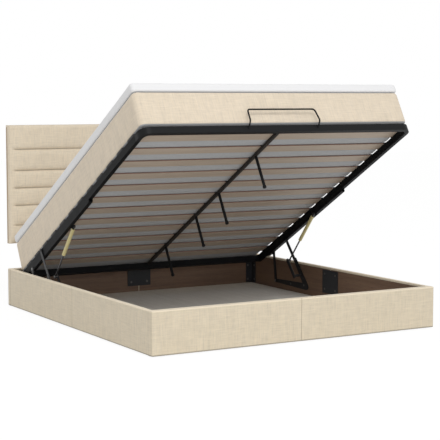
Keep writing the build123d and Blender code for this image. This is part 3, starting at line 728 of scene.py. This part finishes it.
class OTTOMAN_OT_headboard_pad(bpy.types.Operator):
    """The padded front of the headboard with its stitched channels"""

    bl_idname = "ottoman.headboard_pad"
    bl_label = "Headboard pad"

    def execute(self, context):
        sizes = context.scene.ottoman_upholstery
        low, high = (Vector(corner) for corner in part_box("headboard_pad"))
        front, back = low.y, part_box("headboard_board")[1][1] - PAD_BACK
        high.y = back
        piece = add_block(
            "headboard_linen", low + Vector((PAD_SIDE_ROOM, PAD_ROOM, PAD_SIDE_ROOM)),
            high - Vector((PAD_SIDE_ROOM, 0, PAD_SIDE_ROOM)))
        bevel_edges(
            piece, lambda edge: near(middle(edge).y, front + PAD_ROOM, 0.002), PAD_EDGE, 5)
        for axis in (0, 2):
            grid_cuts(piece, axis, low[axis] + PAD_MARGIN, high[axis] - PAD_MARGIN, PAD_STEP)
        swell(piece, PAD_ROOM, PAD_PRESSURE)
        heights = self.seam_heights(low.z, high.z)
        for height in heights:
            for shift in SEAM_CUTS:
                cut(piece, (0, 0, height + shift), (0, 0, 1))
        for vertex in piece.data.vertices:
            if vertex.co.y < back - PAD_BACK_EDGE:
                vertex.co.y += self.channel(vertex.co, heights, high.x, front, sizes)
            vertex.co.y = min(max(vertex.co.y, front), back)
        smooth(piece, 60)
        give(piece, channel_finish("Headboard linen", tuple(sizes.lit_pad_linen), heights, high.x))
        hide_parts("headboard_pad")
        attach(piece, "base")
        return {"FINISHED"}

    def channel(self, place, heights, half, front, sizes):
        """How far the seams pull a place in, with small puckers and less near the sides."""
        from_side = min(half - abs(place.x), 1)
        fade = smoothstep(*SIDE_FADE, from_side)
        fade *= 1 - smoothstep(*BACK_FADE, place.y - front)
        near_seam = sum(exp(-abs(place.z - height) / SEAM_WIDTH) for height in heights)
        pucker = 1 + SEAM_PUCKER * noise.noise(Vector((place.x * 9, 0, place.z * 3)))
        return sizes.channel_depth * fade * near_seam * pucker

    def seam_heights(self, low, high):
        """Heights of the five seams, from the channels' own heights."""
        heights, height = [], low
        for channel in CHANNEL_HEIGHTS[:-1]:
            height += channel * (high - low) / sum(CHANNEL_HEIGHTS)
            heights.append(height)
        return heights


class OTTOMAN_OT_mattress(bpy.types.Operator):
    """The mattress with its linen border"""

    bl_idname = "ottoman.mattress"
    bl_label = "Mattress"

    def execute(self, context):
        sizes = context.scene.ottoman_bedding
        low, high = flat_box("mattress", sizes.tilt)
        room = Vector((sizes.swell, sizes.swell, sizes.swell * FLAT_SHARE))
        piece = padded_block(
            "mattress_block", (low, high), (room, room), sizes.corner, 8, rim=0.018,
            grid=(0.006, 0.025), levels=(0.03, 0.03, 0.025), cap=sizes.swell)
        self.sink(piece, sizes, low.z + UNDERSIDE)
        smooth(piece, 60)
        raise_piece(piece, sizes.tilt)
        give(piece, mattress_finish(
            "Mattress linen", tuple(sizes.border), sizes.tilt, low.z + FELT_UP,
            high.z - FELT_DOWN))
        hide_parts("mattress")
        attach(piece, "platform")
        return {"FINISHED"}

    def sink(self, piece, sizes, underside):
        """Let the underside hang down a little between the slats."""
        gaps = self.slat_gaps(sizes.tilt)
        for vertex in piece.data.vertices:
            if vertex.co.z > underside:
                continue
            place = vertex.co.y
            for start, end in gaps:
                if start < place < end:
                    share = (place - start) / (end - start)
                    vertex.co.z -= sizes.sag * (1 - (2 * share - 1) ** 4)

    def slat_gaps(self, tilt):
        """Start and end of each gap between the slats, along the platform."""
        turn = Matrix.Rotation(tilt, 3, "X")
        spans = []
        for node in ("slats_left", "slat_holders_centre"):
            mesh = nodes[node].data
            places = [(turn @ vertex.co).y for vertex in mesh.vertices]
            for face in mesh.polygons:
                ends = [places[index] for index in face.vertices]
                spans.append([min(ends), max(ends)])
        spans.sort()
        joined = spans[:1]
        for span in spans[1:]:
            if span[0] < joined[-1][1] + LEAST_GAP:
                joined[-1][1] = max(joined[-1][1], span[1])
            else:
                joined.append(span)
        return [(first[1], second[0]) for first, second in zip(joined, joined[1:])]


class OTTOMAN_OT_topper(bpy.types.Operator):
    """The thin topper on the mattress"""

    bl_idname = "ottoman.topper"
    bl_label = "Topper"

    def execute(self, context):
        sizes = context.scene.ottoman_bedding
        room = [Vector(corner) for corner in TOPPER_ROOM]
        piece = padded_block(
            "topper_block", flat_box("topper", sizes.tilt), room, sizes.topper_corner, 6,
            rim=0.011, grid=(0.008, 0.022), levels=(0.018, 0.022, 0.011), cap=0.006)
        smooth(piece, 60)
        raise_piece(piece, sizes.tilt)
        give(piece, knit_finish("Topper knit", tuple(sizes.knit), sizes.tilt))
        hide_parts("topper")
        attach(piece, "platform")
        return {"FINISHED"}


class OTTOMAN_OT_finishes(bpy.types.Operator):
    """Finishes of the boards, the frame, the slats and the lift mechanisms"""

    bl_idname = "ottoman.finishes"
    bl_label = "Finishes"

    def execute(self, context):
        tilt = context.scene.ottoman_bedding.tilt
        finishes = {**self.timbers(tilt), **self.metals(), **self.plastics()}
        slat_edge = timber_finish(
            "Slat edge", (0.21, 0.125, 0.095), (0.33, 0.205, 0.16), (5, 190, 190), tilt, 0.6)
        for name, node in nodes.items():
            if node.hide_render:
                continue
            fits = [key for key in finishes if name.startswith(key)]
            give(node, finishes[max(fits, key=len)])
            if name.startswith("slats"):
                self.darken_edges(node, slat_edge, tilt)
        return {"FINISHED"}

    def timbers(self, tilt):
        """Finishes of the timber pieces, by how their names start."""
        brown = (0.11, 0.061, 0.037), (0.225, 0.14, 0.09)
        oak = (0.30, 0.20, 0.11), (0.50, 0.36, 0.22)
        across = timber_finish("Board across", *brown, (6, 160, 160))
        lengthwise = timber_finish("Board lengthwise", *brown, (160, 6, 160))
        pale = timber_finish(
            "Floor board", (0.66, 0.63, 0.58), (0.78, 0.755, 0.71), (160, 6, 160), 0.0, 0.6)
        upright = timber_finish("Post timber", *oak, (150, 150, 6))
        back = timber_finish("Headboard timber", *oak, (6, 150, 150))
        birch = timber_finish(
            "Slat birch", (0.35, 0.278, 0.212), (0.485, 0.40, 0.32), (5, 190, 190), tilt, 0.5)
        return {
            "foot_board": across, "head_board": across, "side_board": lengthwise,
            "floor_panels": pale, "floor_beam": lengthwise, "floor_rails": lengthwise,
            "headboard_board": back, "headboard_post": upright, "slats": birch}

    def metals(self):
        """Finishes of the steel pieces, by how their names start."""
        near_black = (0.006, 0.0064, 0.007)
        black = coated_steel_finish("Frame black", near_black, 0.5, gloss=0.16)
        shaded = coated_steel_finish("Side tube black", near_black, 0.5, gloss=0.07)
        beam = coated_steel_finish("Beam black", (0.025, 0.021, 0.018), 0.5, gloss=0.16)
        lift = coated_steel_finish("Lift steel", (0.02, 0.02, 0.021), 0.45)
        plate = coated_steel_finish("Joint plate grey", (0.03, 0.032, 0.036), 0.45)
        cream = coated_steel_finish("Cylinder cream", (0.60, 0.52, 0.26), 0.3, 0.00005)
        fitting = coated_steel_finish("Strut fitting", (0.02, 0.02, 0.02), 0.4)
        bolt = bare_steel_finish("Bolt steel", (0.16, 0.155, 0.15), 0.4)
        pin = bare_steel_finish("Pin steel", (0.20, 0.20, 0.20), 0.35)
        rod = bare_steel_finish("Rod steel", (0.09, 0.09, 0.095), 0.2)
        return {
            "headboard_bolts": bolt, "wall_bolts": bolt, "joint_plates": plate,
            "corner_brackets": plate, "base_plate": lift, "rear_link": lift,
            "front_link": lift, "base_pins": pin, "platform_pins": pin, "strut_rod": rod,
            "strut_barrel": cream, "strut_end": fitting, "foot_bow": black,
            "side_tube": shaded, "head_tube": black, "centre_beam": beam,
            "centre_legs": black, "lift_rail": shaded, "pull_handle": black,
            "leg_caps": black}

    def plastics(self):
        """Finishes of the plastic pieces, by how their names start."""
        dull = plastic_finish("Black plastic", (0.02, 0.02, 0.021), 0.6)
        return {"glides": dull, "slat_holders": dull}

    def darken_edges(self, node, material, tilt):
        """Give the slats' narrow edges their own darker finish."""
        node.data.materials.append(material)
        forward = Matrix.Rotation(-tilt, 3, "X") @ Vector((0, 1, 0))
        for face in node.data.polygons:
            if abs(face.normal.dot(forward)) > 0.6:
                face.material_index = 1


# Stage

class OTTOMAN_OT_stage(bpy.types.Operator):
    """White floor, soft lamps, white surroundings and the camera"""

    bl_idname = "ottoman.stage"
    bl_label = "Stage"

    def execute(self, context):
        bpy.ops.object.select_all(action="DESELECT")
        bpy.ops.mesh.primitive_plane_add(size=FLOOR_SIZE, location=(0, 0, 0))
        floor = named("studio_floor")
        give(floor, self.floor_finish())
        self.surroundings(context)
        for lamp in LAMPS:
            self.lamp(*lamp)
        self.camera(context)
        context.scene.view_settings.view_transform = "Standard"
        return {"FINISHED"}

    def floor_finish(self):
        """Pale floor that shows near white and keeps the bed's shadow."""
        finish = Finish("Studio floor")
        finish.finished(Base_Color=(0.9, 0.9, 0.9, 1), Roughness=0.9)
        glow = finish.node(
            "ShaderNodeEmission", {}, {"Color": (1, 1, 1, 1), "Strength": FLOOR_GLOW})
        mixed = finish.node("ShaderNodeMixShader", {}, {
            0: finish.seen() * FLOOR_SEEN, 1: Socket(finish, finish.shader.outputs[0]),
            2: glow})
        finish.feed(finish.tree.nodes["Material Output"].inputs[0], mixed)
        return finish.material

    def surroundings(self, context):
        """A white world that lights plainly and shows white."""
        world = bpy.data.worlds.new("Studio")
        context.scene.world = world
        world.use_nodes = True
        studio = Tree(world.node_tree)
        background = studio.tree.nodes["Background"]
        studio.feed(background.inputs["Color"], (1, 1, 1, 1))
        strength = WORLD_LIGHT + (WORLD_SEEN - WORLD_LIGHT) * studio.seen()
        studio.feed(background.inputs["Strength"], strength)

    def lamp(self, name, place, size, power):
        """A square soft lamp that points at the middle of the bed."""
        bpy.ops.object.select_all(action="DESELECT")
        bpy.ops.object.light_add(type="AREA", location=place)
        lamp = bpy.context.object
        lamp.name = name
        lamp.data.size = size
        lamp.data.energy = power
        aim = Vector(LAMP_TARGET) - Vector(place)
        lamp.rotation_euler = aim.to_track_quat("-Z", "Y").to_euler()

    def camera(self, context):
        """The camera at the photograph's viewing angle."""
        sizes = context.scene.ottoman_stage
        place = Vector((0, FOOT_Y, 0)) + Vector(sizes.place)
        bpy.ops.object.select_all(action="DESELECT")
        bpy.ops.object.camera_add(
            location=place, rotation=(pi / 2 - sizes.pitch, 0, -sizes.yaw))
        camera = bpy.context.object
        camera.name = "Camera"
        camera.data.lens = sizes.lens
        camera.data.sensor_width = 36
        camera.data.clip_end = 100
        context.scene.camera = camera


class OTTOMAN_PT_panel(bpy.types.Panel):
    """Lists the bed's steps in the sidebar"""

    bl_idname = "OTTOMAN_PT_panel"
    bl_label = "Ottoman bed"
    bl_space_type = "VIEW_3D"
    bl_region_type = "UI"
    bl_category = "Ottoman bed"

    def draw(self, context):
        for group_name in GROUPS:
            group = getattr(context.scene, group_name)
            for name in group.__annotations__:
                self.layout.prop(group, name)
        for step in STEPS:
            self.layout.operator(step.bl_idname)


STEPS = (
    OTTOMAN_OT_wall_covers, OTTOMAN_OT_headboard_pad, OTTOMAN_OT_mattress,
    OTTOMAN_OT_topper, OTTOMAN_OT_finishes, OTTOMAN_OT_stage)
GROUPS = {
    "ottoman_upholstery": OttomanUpholstery,
    "ottoman_bedding": OttomanBedding,
    "ottoman_stage": OttomanStage,
}


def register():
    for kind in (*GROUPS.values(), *STEPS, OTTOMAN_PT_panel):
        bpy.utils.register_class(kind)
    for name, kind in GROUPS.items():
        setattr(bpy.types.Scene, name, bpy.props.PointerProperty(type=kind))


def unregister():
    for name in GROUPS:
        delattr(bpy.types.Scene, name)
    for kind in reversed((*GROUPS.values(), *STEPS, OTTOMAN_PT_panel)):
        bpy.utils.unregister_class(kind)


def main():
    """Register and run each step."""
    register()
    bpy.ops.ottoman.wall_covers()
    bpy.ops.ottoman.headboard_pad()
    bpy.ops.ottoman.mattress()
    bpy.ops.ottoman.topper()
    bpy.ops.ottoman.finishes()
    bpy.ops.ottoman.stage()


if __name__ == "__main__":
    main()
